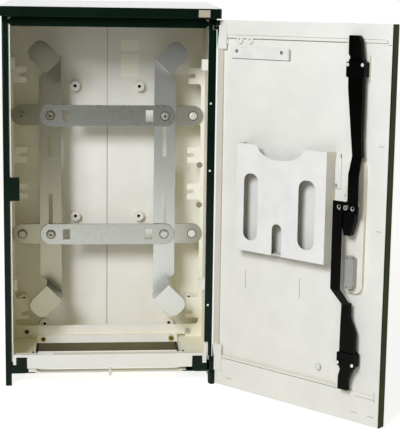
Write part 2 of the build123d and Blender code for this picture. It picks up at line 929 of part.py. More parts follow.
# Sill: a folded cover hanging on the shoulders of the base rails
sill_left = sill_left_inset - half
sill_right = half - sill_right_inset
sill_outline = [
    (sill_left, sill_shoulder),
    (left_tab[0] - sill_play, sill_shoulder),
    (left_tab[0] - sill_play, tab_height + sill_play),
    (left_tab[1] + sill_play, tab_height + sill_play),
    (left_tab[1] + sill_play, sill_bottom),
    (right_tab[0] - sill_play, sill_bottom),
    (right_tab[0] - sill_play, tab_height + sill_play),
    (right_tab[1] + sill_play, tab_height + sill_play),
    (right_tab[1] + sill_play, sill_shoulder),
    (sill_right, sill_shoulder),
    (sill_right, sill_top),
    (sill_left, sill_top),
]
sill_face = flange_back + sill_sheet
with BuildPart() as sill:
    with BuildSketch(facing(sill_face)):
        with BuildLine():
            Polyline(*sill_outline, close=True)
        make_face()
    extrude(amount=sill_sheet)
    flange_end = half - sill_flange_inset
    notch_start, notch_end = (inset - half for inset in sill_notch_insets)
    for span in ((-flange_end, notch_start), (notch_end, flange_end)):
        with BuildSketch(Plane.XY.offset(sill_top - sill_sheet)):
            block(span, (sill_face, sill_flange_back))
        extrude(amount=sill_sheet)
        with BuildSketch(facing(sill_flange_back)):
            block(span, (sill_top - sill_back_lip, sill_top))
        extrude(amount=sill_sheet)
finish(sill, "sill")

with BuildPart() as sill_pin:
    with BuildSketch(Plane.XY.offset(pin_bottom)):
        with Locations((pin_x, pin_y)):
            RegularPolygon(pin_radius, round_sides)
    extrude(amount=pin_top - pin_bottom)
    chamfer(edges().group_by(Axis.Z)[0], length=pin_tip)
finish(sill_pin, "sill_pin")


# Hinge blocks on the cabinet: a round boss on the axis and an arm behind the flange
def hinge_block(boss_range, arm_range, arm_inset):
    arm_outer = half - block_arm_outer
    with BuildPart() as piece:
        with BuildSketch(Plane.XY.offset(boss_range[0])):
            with Locations((hinge_x, hinge_y)):
                Circle(block_boss)
            block((half - block_boss, hinge_x), (hinge_y, flange_back))
            with Locations((hinge_x, hinge_y)):
                Circle(pin, mode=Mode.SUBTRACT)
        extrude(amount=boss_range[1] - boss_range[0])
        with BuildSketch(Plane.XY.offset(arm_range[0])):
            block((half - arm_inset, arm_outer), (flange_back, flange_back + block_arm_depth))
        extrude(amount=arm_range[1] - arm_range[0])
    return piece


high_range = (high_block_bottom, door_top)
low_range = (skirt_bottom, low_block_top)
finish(hinge_block(high_range, high_range, high_arm_inset), "upper_hinge_block")
finish(hinge_block(low_range, (skirt_bottom, 0), low_arm_inset), "lower_hinge_block")

with BuildPart() as hinge_pins:
    for low, high in (
        (high_knuckle_bottom, door_top),
        (skirt_bottom, low_knuckle_top - low_pin_short),
    ):
        with BuildSketch(Plane.XY.offset(low)):
            with Locations((hinge_x, hinge_y)):
                Circle(pin)
        extrude(amount=high - low)
finish(hinge_pins, "hinge_pins")


# Door skin: a folded tray, open towards the inside
def leaf_outline(edge_u, inset):
    near = corner_notch + inset
    return [
        (inset, notch_low_v + inset),
        (near, notch_low_v + inset),
        (near, door_bottom + inset),
        (edge_u - inset, door_bottom + inset),
        (edge_u - inset, door_top - inset),
        (near, door_top - inset),
        (near, notch_high_v - inset),
        (inset, notch_high_v - inset),
    ]


def dish_outline(grow):
    with BuildSketch() as outline:
        with Locations((spindle_u, sum(dish_v) / 2)):
            RectangleRounded(2 * (dish_half + grow), dish_v[1] - dish_v[0] + 2 * grow, dish_corner + grow)
    return outline.sketch


with BuildPart() as door_skin:
    with BuildSketch(leaf(skin_face)):
        with BuildLine():
            Polyline(*leaf_outline(door_width, 0), close=True)
        make_face()
    extrude(amount=door_thick - liner_sheet)
    with BuildSketch(leaf(skin_face)):
        block((door_width - sheet, door_width), (door_bottom, door_top))
    extrude(amount=door_thick)
    rim = edges().filter_by(lambda e: abs((e.center() - leaf_edge).dot(inward) - skin_face) < touching)
    fillet(rim, radius=bend)
    with BuildSketch(leaf(skin_face + sheet)):
        with BuildLine():
            Polyline(*leaf_outline(door_width, sheet), close=True)
        make_face()
    extrude(amount=door_thick, mode=Mode.SUBTRACT)
    with BuildSketch(leaf(skin_face)):
        add(dish_outline(0))
    extrude(amount=sheet, mode=Mode.SUBTRACT)
finish(door_skin, "door_skin")

with BuildPart() as door_liner:
    with BuildSketch(leaf(-liner_sheet)):
        with BuildLine():
            Polyline(*leaf_outline(door_width - edge_reveal, 0), close=True)
        make_face()
    extrude(amount=liner_sheet)
    recess_centre = (sum(recess_u) / 2, sum(recess_v) / 2)
    recess_width = recess_u[1] - recess_u[0]
    recess_height = recess_v[1] - recess_v[0]
    with BuildSketch(leaf(-recess_depth - liner_sheet)):
        with Locations(recess_centre):
            RectangleRounded(
                recess_width + 2 * liner_sheet, recess_height + 2 * liner_sheet, recess_corner + liner_sheet
            )
    extrude(amount=recess_depth + liner_sheet)
    with BuildSketch(leaf(-recess_depth)):
        with Locations(recess_centre):
            RectangleRounded(recess_width, recess_height, recess_corner)
    extrude(amount=recess_depth, mode=Mode.SUBTRACT)
    with BuildSketch(leaf(-recess_depth - liner_sheet)):
        add(dish_outline(0))
    extrude(amount=liner_sheet, mode=Mode.SUBTRACT)
finish(door_liner, "door_liner")


# Door hinge plates: a knuckle on the axis and a flat plate on the rim
def door_hinge(knuckle_range, plate_range):
    with BuildPart() as piece:
        with BuildSketch(leaf(0)):
            block((0, hinge_plate_width), plate_range)
            block((-hinge_to_edge, hinge_to_rim), knuckle_range)
        extrude(amount=hinge_plate)
        with BuildSketch(Plane.XY.offset(knuckle_range[0])):
            with Locations((hinge_x, hinge_y)):
                Circle(knuckle)
        extrude(amount=knuckle_range[1] - knuckle_range[0])
        with BuildSketch(Plane.XY.offset(knuckle_range[0])):
            with Locations((hinge_x, hinge_y)):
                Circle(pin + pin_play)
        extrude(amount=knuckle_range[1] - knuckle_range[0], mode=Mode.SUBTRACT)
    return piece


high_plate = (notch_high_v - high_plate_drop, high_knuckle_top)
low_plate = (low_knuckle_bottom, low_plate_v)
finish(door_hinge((high_knuckle_bottom, high_knuckle_top), high_plate), "upper_door_hinge")
finish(door_hinge((low_knuckle_bottom, low_knuckle_top), low_plate), "lower_door_hinge")


def lock_circles(spots, radius, bottom, top, mode=Mode.ADD):
    """Round bars through the door at U, V spots, from one W to another."""
    with BuildSketch(leaf(bottom)) as ends:
        with Locations(*spots):
            Circle(radius)
    extrude(ends.sketch, amount=top - bottom, mode=mode)


# Handle dish: a tray pressed in from outside, with the spindle bearing on its back
spindle_spot = [(spindle_u, spindle_v)]
with BuildPart() as handle_dish:
    with BuildSketch(leaf(skin_face - sheet)):
        add(dish_outline(dish_rim))
    extrude(amount=sheet)
    with BuildSketch(leaf(skin_face - sheet)):
        add(dish_outline(0))
    extrude(amount=dish_face - skin_face + sheet)
    with BuildSketch(leaf(skin_face - sheet)):
        add(dish_outline(-dish_wall))
    extrude(amount=dish_face - skin_face, mode=Mode.SUBTRACT)
    lock_circles(spindle_spot, collar, dish_face, tongue_back - turn_play)
    lock_circles(spindle_spot, spindle + turn_play, dish_face - sheet, tongue_back, Mode.SUBTRACT)
    lock_circles([(spindle_u, plug_v)], plug, dish_face - sheet, dish_face, Mode.SUBTRACT)
finish(handle_dish, "handle_dish")

# Lock body: a faceted housing between two short necks, with its plug
housing_v = [spindle_v - share * lower_reach for share in housing_shares]
with BuildPart() as lock_body:
    facet_w = housing_front - housing_facet
    housing_outline = [
        (housing_half, dish_face),
        (housing_half, facet_w),
        (housing_half - housing_facet, housing_front),
        (housing_facet - housing_half, housing_front),
        (-housing_half, facet_w),
        (-housing_half, dish_face),
    ]
    with BuildSketch(level(housing_v[0])):
        with BuildLine():
            Polyline(*[(spindle_u + u, -w) for u, w in housing_outline], close=True)
        make_face()
    extrude(amount=housing_v[1] - housing_v[0])
    with BuildSketch(level(housing_v[0] - neck_reach)):
        rounded([(spindle_u, -(dish_face + housing_front) / 2)], housing_neck)
    extrude(amount=housing_v[1] - housing_v[0] + 2 * neck_reach)
    lock_circles([(spindle_u, plug_v)], plug, dish_face, housing_front - sheet, Mode.SUBTRACT)
finish(lock_body, "lock_body")

with BuildPart() as lock_plug:
    lock_circles([(spindle_u, plug_v)], plug, plug_face, housing_front - sheet)
    with BuildSketch(leaf(plug_face)):
        with Locations((spindle_u, plug_v)):
            Rectangle(screw_slot, key_slot)
    extrude(amount=key_slot_depth, mode=Mode.SUBTRACT)
finish(lock_plug, "lock_plug")

# Spindle: shaft through the dish, riveted over inside, with the outside hub and the
# cheeks for the grip
rivet_back = upper_front + rivet_gap
hub_face = grip_front + hub_gap
with BuildPart() as lock_spindle:
    lock_circles(spindle_spot, hub, hub_face, hub_face + hub_depth)
    lock_circles(spindle_spot, spindle, hub_face, cam_front)
    lock_circles(spindle_spot, spindle_stem, cam_front, rivet_back)
    lock_circles(spindle_spot, rivet_head, rivet_back, rivet_back + rivet_head_thick)
    for side in (-1, 1):
        cheek_low = spindle_v + side * cheek_inner
        cheek_high = spindle_v + side * (cheek_inner + cheek)
        with BuildSketch(leaf(grip_front - grip_thick - hub_gap)):
            block((pivot_u - cheek_half, pivot_u + cheek_half), sorted((cheek_low, cheek_high)))
        extrude(amount=grip_thick + 3 * hub_gap)
    with BuildSketch(level(spindle_v - cheek_inner - cheek)):
        with Locations((pivot_u, -grip_mid)):
            Circle(handle_pin)
    extrude(amount=2 * (cheek_inner + cheek), mode=Mode.SUBTRACT)
finish(lock_spindle, "lock_spindle")

with BuildPart() as handle_pivot:
    with BuildSketch(level(spindle_v - cheek_inner - cheek)):
        with Locations((pivot_u, -grip_mid)):
            Circle(handle_pin)
    extrude(amount=2 * (cheek_inner + cheek))
finish(handle_pivot, "handle_pivot")

# Grip: narrow between the cheeks, broad beyond them, round at the free end
with BuildPart() as handle_grip:
    shoulder = pivot_u - grip_root_length
    tip = spindle_u - grip_length
    with BuildSketch(leaf(grip_mid - grip_thick / 2)):
        block((shoulder - grip_width / 2, pivot_u), (spindle_v - grip_root / 2, spindle_v + grip_root / 2))
        block((tip + grip_width / 2, shoulder), (spindle_v - grip_width / 2, spindle_v + grip_width / 2))
        with Locations((tip + grip_width / 2, spindle_v)):
            Circle(grip_width / 2)
    extrude(amount=grip_thick)
    with BuildSketch(level(spindle_v - grip_root / 2)):
        with Locations((pivot_u, -grip_mid)):
            Circle(grip_thick / 2)
    extrude(amount=grip_root)
    with BuildSketch(level(spindle_v - grip_root / 2)):
        with Locations((pivot_u, -grip_mid)):
            Circle(handle_pin + pin_play)
    extrude(amount=grip_root, mode=Mode.SUBTRACT)
finish(handle_grip, "handle_grip")

# Cam: a plate with two crank arms and the thick latch tongue
with BuildPart() as lock_cam:
    with BuildSketch(leaf(cam_back)):
        with Locations(*spindle_spot):
            Circle(collar)
            SlotCenterToCenter(2 * crank, 4 * crank_pin)
    extrude(amount=cam_front - cam_back)
    tongue_outline = [(spindle_u + u, spindle_v + v) for u, v in tongue]
    tongue_outline += [(spindle_u - u, spindle_v + v) for u, v in reversed(tongue)]
    with BuildSketch(leaf(tongue_back)):
        with BuildLine():
            Polyline(*tongue_outline, close=True)
        make_face()
        with Locations(*spindle_spot):
            Circle(collar)
    extrude(amount=cam_front - tongue_back)
    lock_circles(spindle_spot, spindle, tongue_back, cam_front, Mode.SUBTRACT)
finish(lock_cam, "lock_cam")

with BuildPart() as crank_pins:
    for offset, plate_front in ((-crank, lower_front), (crank, upper_front)):
        pin_spot = [(spindle_u + offset, spindle_v)]
        lock_circles(pin_spot, crank_pin, cam_front, plate_front + rivet_gap)
        lock_circles(
            pin_spot, rivet_head, plate_front + rivet_gap, plate_front + rivet_gap + rivet_head_thick
        )
finish(crank_pins, "crank_pins")


# Rods: cut from the outline seen from inside and the profile seen from the side
def rod(outline, profile, slot_u, slot_v, stem_v):
    with BuildPart() as bar:
        with BuildSketch(leaf(0)):
            with BuildLine():
                Polyline(*outline, close=True)
            make_face()
            with Locations((sum(slot_u) / 2, sum(slot_v) / 2)):
                Rectangle(slot_u[1] - slot_u[0], slot_v[1] - slot_v[0], mode=Mode.SUBTRACT)
            with Locations((spindle_u, sum(stem_v) / 2)):
                Rectangle(2 * (spindle_stem + stem_play), stem_v[1] - stem_v[0], mode=Mode.SUBTRACT)
        extrude(amount=2 * upper_back)
        with BuildSketch(across(door_width)):
            with BuildLine():
                Polyline(*profile, close=True)
            make_face()
        extrude(amount=door_width, mode=Mode.INTERSECT)
    return bar


# Heights along the free length of each rod, from the spindle to its guide
def above(share):
    return spindle_v + share * (upper_guide_v[0] - spindle_v)


def below(share):
    return spindle_v - share * (spindle_v - lower_guide_v[1])


pin_room = crank_pin + turn_play
yoke_v = (spindle_v - yoke_half, spindle_v + yoke_half)
neck_u = (guided[0] + neck_inset, guided[1] - tip_flare)
upper_bend_v = (above(upper_bend[0]), above(upper_bend[1]))
upper_outline = [
    (neck_u[0] - tip_flare, upper_rod_top),
    (neck_u[0] - tip_flare, upper_guide_v[1] + 2 * flare_gap),
    (neck_u[0], upper_guide_v[1] + flare_gap),
    (guided[0], upper_guide_v[1] + bend),
    (guided[0], upper_guide_v[0] - crank - slide_room),
    (spindle_u - bend_side, upper_bend_v[1]),
    (spindle_u + bend, upper_bend_v[0]),
    (spindle_u + bend, yoke_v[1]),
    (spindle_u - yoke_inner, yoke_v[1]),
    (spindle_u - yoke_inner, yoke_v[0]),
    (spindle_u + upper_yoke_side, yoke_v[0]),
    (spindle_u + upper_yoke_side, upper_bend_v[0]),
    (guided[1] + bend, upper_bend_v[1]),
    (guided[1], above(upper_taper)),
    (guided[1], upper_guide_v[1] + bend),
    (neck_u[1], upper_guide_v[1] + flare_gap),
    (neck_u[1] - tip_flare, upper_rod_top - 2 * tip_flare),
    (neck_u[1] - 2 * tip_flare, upper_rod_top),
]
upper_profile = [
    (rod_back, upper_rod_top),
    (rod_front, upper_rod_top),
    (rod_front, upper_bend_v[1] + layer),
    (upper_front, upper_bend_v[0] + layer),
    (upper_front, yoke_v[0]),
    (upper_back, yoke_v[0]),
    (upper_back, upper_bend_v[0]),
    (rod_front - layer, upper_bend_v[1]),
    (rod_back, upper_bend_v[1]),
]
upper_slot_u = (spindle_u - pin_room, spindle_u + crank + pin_room)
upper_slot_v = (spindle_v - pin_room, spindle_v + pin_room + slot_lead)
upper_stem_v = (yoke_v[0] - overcut, spindle_v)
finish(rod(upper_outline, upper_profile, upper_slot_u, upper_slot_v, upper_stem_v), "upper_rod")

lower_bend_v = (below(lower_bend[0]), below(lower_bend[1]))
arm_u = (spindle_u - lower_yoke_side, spindle_u - lower_yoke_side / 3)
foot_v = lower_guide_v[0]
lower_outline = [
    (arm_u[0], yoke_v[1]),
    (spindle_u + yoke_inner, yoke_v[1]),
    (spindle_u + yoke_inner, yoke_v[0]),
    (arm_u[1], yoke_v[0]),
    (arm_u[1], lower_bend_v[1]),
    (spindle_u + tip_flare, lower_bend_v[0]),
    (spindle_u + tip_flare, below(lower_taper[0])),
    (guided[1], below(lower_taper[1])),
    (guided[1], foot_v - bend),
    (neck_u[1], foot_v - flare_gap),
    (neck_u[1] - 2 * tip_flare, foot_v - 4 * flare_gap),
    (neck_u[1] - 2 * tip_flare, lower_rod_bottom),
    (neck_u[0] - tip_flare, lower_rod_bottom),
    (neck_u[0] - tip_flare, foot_v - 3 * flare_gap),
    (neck_u[0], foot_v - flare_gap),
    (guided[0], foot_v - bend),
    (guided[0], lower_guide_v[1] + crank + slide_room),
    (spindle_u - collar - bend, lower_bend_v[0]),
    (arm_u[0], lower_bend_v[1]),
]
lower_profile = [
    (lower_front, yoke_v[1]),
    (lower_front, lower_bend_v[1] - layer),
    (rod_front, lower_bend_v[0]),
    (rod_front, lower_rod_bottom),
    (rod_back, lower_rod_bottom),
    (rod_back, lower_bend_v[0] + layer),
    (rod_front - layer, lower_bend_v[0] + layer),
    (lower_back, lower_bend_v[1]),
    (lower_back, yoke_v[1]),
]
lower_slot_u = (spindle_u - crank - pin_room, spindle_u + pin_room)
lower_slot_v = (spindle_v - pin_room - slot_lead, spindle_v + pin_room)
lower_stem_v = (spindle_v, yoke_v[1] + overcut)
finish(rod(lower_outline, lower_profile, lower_slot_u, lower_slot_v, lower_stem_v), "lower_rod")


# Rod guides: blocks on a narrower foot on the lining, with a passage for the rod
def rod_guide(v_range):
    foot_front = guide_foot - recess_depth
    guide_u = (guided[0] - guide_play - guide_wall, guided[1] + guide_play + guide_wall)
    with BuildPart() as guide:
        with BuildSketch(leaf(-recess_depth)):
            block((guided[0], guide_u[1] - guide_foot_far), v_range)
        extrude(amount=guide_foot)
        with BuildSketch(leaf(foot_front)):
            block(guide_u, v_range)
            chamfer(vertices(), length=guide_cap)
        extrude(amount=rod_front + guide_play + guide_cap - foot_front)
        with BuildSketch(leaf(rod_back - guide_play)):
            block((guided[0] - guide_play, guided[1] + guide_play), (v_range[0] - 1, v_range[1] + 1))
        extrude(amount=rod_front - rod_back + 2 * guide_play, mode=Mode.SUBTRACT)
    return guide


finish(rod_guide(upper_guide_v), "upper_guide")
finish(rod_guide(lower_guide_v), "lower_guide")

# Document pocket: an open-topped box with slots, a thumb cut and a screwed ear
pocket_back = -recess_depth
pocket_front = pocket_back + pocket_depth
with BuildPart() as document_pocket:
    with BuildSketch(leaf(pocket_back)):
        block(pocket_u, pocket_v)
    extrude(amount=pocket_depth)
    with BuildSketch(leaf(pocket_back + pocket_wall)):
        inner_u = (pocket_u[0] + pocket_wall, pocket_u[1] - pocket_wall)
        block(inner_u, (pocket_v[0] + pocket_wall, pocket_v[1] + 1))
    extrude(amount=pocket_depth - 2 * pocket_wall, mode=Mode.SUBTRACT)
    with BuildSketch(leaf(pocket_front - 2 * pocket_wall)):
        for start, end in pocket_slots:
            slot_middle = pocket_bottom + pocket_slot_rise + pocket_slot_height / 2
            with Locations((pocket_left + (start + end) / 2 * pocket_width, slot_middle)):
                slot_width = (end - start) * pocket_width
                slot_corner = pocket_slot_round * slot_width
                RectangleRounded(slot_width, pocket_slot_height, slot_corner)
        notch_left = pocket_left + pocket_notch[0] * pocket_width
        notch_right = pocket_left + pocket_notch[1] * pocket_width
        notch_round = (notch_right - notch_left) / 2
        notch_top = pocket_bottom + pocket_notch_height - notch_round
        block((notch_left, notch_right), (pocket_bottom - 1, notch_top))
        with Locations((notch_left + notch_round, notch_top)):
            Circle(notch_round)
        with Locations((pocket_left + (thumb[0] + thumb[1]) / 2 * pocket_width, pocket_v[1])):
            Ellipse((thumb[1] - thumb[0]) / 2 * pocket_width, thumb_drop)
    extrude(amount=3 * pocket_wall, mode=Mode.SUBTRACT)
    ear_bottom = pocket_bottom + pocket_ear_rise
    with BuildSketch(leaf(pocket_back)):
        block(pocket_u, (pocket_bottom - pocket_skirt, pocket_bottom))
        block((pocket_u[1], pocket_u[1] + pocket_ear_width), (ear_bottom, ear_bottom + pocket_ear_height))
    extrude(amount=pocket_wall)
finish(document_pocket, "document_pocket")

# Label holder: a thin plate with an upturned end
with BuildPart() as label_holder:
    with BuildSketch(leaf(-recess_depth)):
        block(label_u, label_v)
    extrude(amount=label_sheet)
    with BuildSketch(leaf(-recess_depth)):
        block((label_u[1] - label_sheet, label_u[1]), label_v)
    extrude(amount=label_tip)
finish(label_holder, "label_holder")

with BuildPart() as hole_buttons:
    with BuildSketch(leaf(-recess_depth)):
        rounded(button_spots, button)
    extrude(amount=button_height)
finish(hole_buttons, "hole_buttons")
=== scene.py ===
import json
import math

import bpy
from mathutils import Matrix, Vector


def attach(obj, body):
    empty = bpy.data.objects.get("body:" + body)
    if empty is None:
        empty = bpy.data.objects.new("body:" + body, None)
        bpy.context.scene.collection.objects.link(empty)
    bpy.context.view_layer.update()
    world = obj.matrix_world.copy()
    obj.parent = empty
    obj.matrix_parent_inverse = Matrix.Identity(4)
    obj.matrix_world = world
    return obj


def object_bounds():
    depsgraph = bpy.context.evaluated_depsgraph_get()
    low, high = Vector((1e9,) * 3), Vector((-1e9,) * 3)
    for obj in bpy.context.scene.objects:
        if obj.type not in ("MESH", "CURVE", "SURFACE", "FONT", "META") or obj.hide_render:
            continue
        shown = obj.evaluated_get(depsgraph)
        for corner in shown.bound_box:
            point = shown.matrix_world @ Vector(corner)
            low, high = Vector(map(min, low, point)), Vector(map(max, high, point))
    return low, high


# A roadside utility cabinet seen from in front, its door open on its stop.
# The frame is the cabinet's own: metres, +Z up, the opening towards -Y.

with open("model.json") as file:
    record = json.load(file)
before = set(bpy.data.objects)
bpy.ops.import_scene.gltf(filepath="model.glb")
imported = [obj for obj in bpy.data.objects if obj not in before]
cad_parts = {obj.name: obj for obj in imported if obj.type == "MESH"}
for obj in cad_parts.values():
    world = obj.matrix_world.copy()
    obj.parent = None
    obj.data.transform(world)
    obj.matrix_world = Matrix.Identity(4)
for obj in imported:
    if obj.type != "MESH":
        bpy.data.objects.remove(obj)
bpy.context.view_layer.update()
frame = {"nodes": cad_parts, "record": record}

MM = 0.001
nodes = frame["nodes"]


def hex_colour(code, alpha=1.0):
    """An sRGB hex colour as the linear colour that Blender takes."""
    parts = [int(code[i : i + 2], 16) / 255 for i in (1, 3, 5)]
    linear = [c / 12.92 if c <= 0.04045 else ((c + 0.055) / 1.055) ** 2.4 for c in parts]
    return (*linear, alpha)


def add(tree, kind, links=(), **settings):
    """Adds a shader node: settings name its properties or sockets, links name (socket, output)."""
    node = tree.nodes.new(kind)
    for name, value in settings.items():
        socket = name.replace("_", " ")
        if hasattr(node, name):
            setattr(node, name, value)
        else:
            node.inputs[socket].default_value = value
    for socket, output in links:
        tree.links.new(output, node.inputs[socket])
    return node


def new_material(name):
    """A material with an empty tree, and that tree."""
    material = bpy.data.materials.new(name)
    material.use_nodes = True
    material.node_tree.nodes.clear()
    return material, material.node_tree


def mottled(tree, place, lump_mm, tones, edges=(0.35, 0.65)):
    """A colour that drifts between two tones in lumps about lump_mm across, and the lumps."""
    lumps = add(tree, "ShaderNodeTexNoise", [("Vector", place)], Scale=1 / (lump_mm * MM), Detail=2.0)
    ramp = add(tree, "ShaderNodeValToRGB", [("Fac", lumps.outputs["Fac"])])
    for step, edge, tone in zip(ramp.color_ramp.elements, edges, tones):
        step.position = edge
        step.color = hex_colour(tone)
    return ramp.outputs["Color"], lumps.outputs["Fac"]


def fine_relief(tree, lumps, roughness, depth_mm, strength):
    """What fine lumps do to a shine: a band of roughness, and a bump whose full height is
    depth_mm on the real object."""
    low, high = roughness
    band = add(tree, "ShaderNodeMapRange", [("Value", lumps)], To_Min=low, To_Max=high)
    raised = add(tree, "ShaderNodeBump", [("Height", lumps)], Distance=depth_mm * MM, Strength=strength)
    return [("Roughness", band.outputs["Result"]), ("Normal", raised.outputs["Normal"])]


def painted_shade_tint(tree, colour, shade_tint):
    """A yellower colour shown only to light bounced on from the surface, a painted tint that warms and
    deepens the shade in a hollow."""
    passed_on = add(tree, "ShaderNodeLightPath").outputs["Is Diffuse Ray"]
    tint = add(tree, "ShaderNodeMixRGB", [("Fac", passed_on), ("Color1", colour)], Color2=hex_colour(shade_tint))
    return tint.outputs["Color"]


def powder_coat(name, dark, light, roughness, peel_mm=1.6, shade_tint=None, shine=0.5):
    """Polyester powder baked on sheet steel: an even colour, with the fine orange peel of the
    melted powder that breaks up its soft shine."""
    material, tree = new_material(name)
    place = add(tree, "ShaderNodeTexCoord").outputs["Object"]
    colour, _ = mottled(tree, place, 60, (dark, light))
    peel = add(tree, "ShaderNodeTexNoise", [("Vector", place)], Scale=1 / (peel_mm * MM), Detail=2.0)
    # A shade tint, if given, is a painted shade: light bounced on from the coat takes it
    if shade_tint:
        colour = painted_shade_tint(tree, colour, shade_tint)
    relief = fine_relief(tree, peel.outputs["Fac"], (roughness - 0.05, roughness + 0.05), 0.05, 0.6)
    links = [("Base Color", colour), *relief]
    paint = add(tree, "ShaderNodeBsdfPrincipled", links, IOR=1.5, Specular_IOR_Level=shine)
    add(tree, "ShaderNodeOutputMaterial", [("Surface", paint.outputs[0])])
    return material


def zinc_strip(name, dark, light, roughness, cloud_mm=2.2, streak=(1.0, 1.0, 1.0)):
    """Zinc on strip steel, dulled by handling: faint clouds, or fine drawn lines where the
    streak is long in one direction, and a satin shine that picks up the room."""
    material, tree = new_material(name)
    place = add(tree, "ShaderNodeTexCoord").outputs["Object"]
    drawn = add(tree, "ShaderNodeMapping", [("Vector", place)], Scale=streak).outputs["Vector"]
    colour, clouds = mottled(tree, drawn, cloud_mm, (dark, light), (0.3, 0.7))
    low, high = roughness - 0.03, roughness + 0.03
    band = add(tree, "ShaderNodeMapRange", [("Value", clouds)], To_Min=low, To_Max=high)
    links = [("Base Color", colour), ("Roughness", band.outputs["Result"])]
    metal = add(tree, "ShaderNodeBsdfPrincipled", links, Metallic=0.95)
    add(tree, "ShaderNodeOutputMaterial", [("Surface", metal.outputs[0])])
    return material


def plated_metal(name, dark, light, roughness, tumble_mm=0.4, metallic=1.0):
    """Zinc or brass on small turned and pressed pieces: a clean metal with the grain of
    tumbling, drawn coarser than it is."""
    material, tree = new_material(name)
    place = add(tree, "ShaderNodeTexCoord").outputs["Object"]
    colour, grain = mottled(tree, place, tumble_mm, (dark, light))
    relief = fine_relief(tree, grain, (roughness - 0.06, roughness + 0.06), 0.01, 0.4)
    metal = add(tree, "ShaderNodeBsdfPrincipled", [("Base Color", colour), *relief], Metallic=metallic)
    add(tree, "ShaderNodeOutputMaterial", [("Surface", metal.outputs[0])])
    return material


def moulded_plastic(name, dark, light, roughness, spark_mm=0.9, shade_tint=None):
    """ABS from a lightly sparked mould: an even colour with a matt grain, drawn coarser than
    it is."""
    material, tree = new_material(name)
    place = add(tree, "ShaderNodeTexCoord").outputs["Object"]
    colour, _ = mottled(tree, place, 40, (dark, light))
    spark = add(tree, "ShaderNodeTexNoise", [("Vector", place)], Scale=1 / (spark_mm * MM), Detail=2.0)
    # A shade tint, if given, is a painted shade: light bounced on from the plastic takes it
    if shade_tint:
        colour = painted_shade_tint(tree, colour, shade_tint)
    relief = fine_relief(tree, spark.outputs["Fac"], (roughness - 0.04, roughness + 0.06), 0.02, 0.4)
    plastic = add(tree, "ShaderNodeBsdfPrincipled", [("Base Color", colour), *relief], IOR=1.53)
    add(tree, "ShaderNodeOutputMaterial", [("Surface", plastic.outputs[0])])
    return material


def plain_matt(name, colour):
    """Paper, or a mark of painted shade for an open gap or hole: one even matt tone with no shine."""
    material, tree = new_material(name)
    matt = add(tree, "ShaderNodeBsdfDiffuse", Color=hex_colour(colour))
    add(tree, "ShaderNodeOutputMaterial", [("Surface", matt.outputs[0])])
    return material


# Powder coats. The green is so dark that it shows only where it mirrors the room. On the roof's upper faces
# it is a step lighter and shinier, a painted highlight where they face the light
green_coat = powder_coat("green_powder_coat", "#04150D", "#071C12", 0.26, shine=0.12)
roof_highlight_coat = powder_coat("green_roof_highlight_coat", "#05170F", "#081E14", 0.26, shine=0.35)
# The lining and the door are a satin off-white. Light bounced on from them takes a yellower tint, which
# paints an olive shade into the hollow, and the inner face of the shell behind the lining is a darker copy of
# the cream, a painted shade
lining_coat = powder_coat("cream_powder_coat", "#E9EAEB", "#EEEFF0", 0.5, shade_tint="#EDE5AA")
back_shade_coat = powder_coat("painted_shade_cream_coat", "#908D7E", "#989586", 0.6, shade_tint="#EDE5A4")
door_coat = powder_coat("white_powder_coat", "#E8EAEA", "#EDEFEF", 0.5, shade_tint="#DCD3A6")
# The door's rim beside the hinge is a little greyer, a painted shade, and its free edge is an olive much
# lighter than the green coat, painted light
lit_edge_coat = powder_coat("painted_light_olive_edge_coat", "#38421F", "#434C28", 0.45, shine=0.06)
shaded_rim_coat = powder_coat("painted_shade_rim_coat", "#CFCEC7", "#D5D4CD", 0.5)
# The rods are coated black, and the guides are moulded in black nylon: both nearly without shine
rod_coat = powder_coat("black_rod_coat", "#020202", "#040404", 0.36, 1.0, shine=0.07)
black_nylon = powder_coat("black_guide_nylon", "#020202", "#040404", 0.42, 1.0, shine=0.07)

# Zinc on the strap frame: a dull grey with a slight warm tint that paints in a reflection of the cream
# lining, a darker olive copy on the left as painted shade and a lighter copy on the right as painted light,
# and with fine drawn lines on the two crossbars
galvanised = zinc_strip("dulled_zinc_strip", "#B3B3A9", "#BEBEB5", 0.3)
shaded_zinc = zinc_strip("painted_shade_zinc_strip", "#969480", "#A19F8B", 0.3)
lit_zinc = zinc_strip("painted_light_zinc_strip", "#C6C9C6", "#D0D3D0", 0.3)
drawn_zinc = zinc_strip("drawn_zinc_strip", "#ADAFAA", "#BABCB6", 0.28, 1.0, (1.0, 1.0, 0.08))

# Small metal pieces: bluish plating, dull yellow brass, the grey casting of the lock, and a near-white steel
# for the rivets, the brightest points of the picture, which also gives painted highlights: glints at bolt
# sockets, rings on the crank pins and the right outer bolt heads
zinc = plated_metal("zinc_plated_steel", "#B4B8B8", "#D2D5D4", 0.3, 0.4, 0.8)
brass = plated_metal("brass_screw", "#8A8030", "#A39A48", 0.32, 0.4, 0.8)
lock_zinc = plated_metal("die_cast_zinc", "#9A9C9B", "#ABADAB", 0.42, 0.6, 0.5)
rivet_and_highlight_steel = plated_metal("rivet_and_painted_highlight_steel", "#DADCDA", "#F2F3F1", 0.3, 0.4, 0.5)

# Moulded ABS: the pocket is a cold white whose bounced light takes a dark olive tint, which paints a deep
# shade into its slots; the dish a warmer white
white_abs = moulded_plastic("white_pocket_plastic", "#E6E9EC", "#EDEFF1", 0.42, shade_tint="#8F8760")
cream_abs = moulded_plastic("cream_dish_plastic", "#E4E3DD", "#EAE9E4", 0.5)

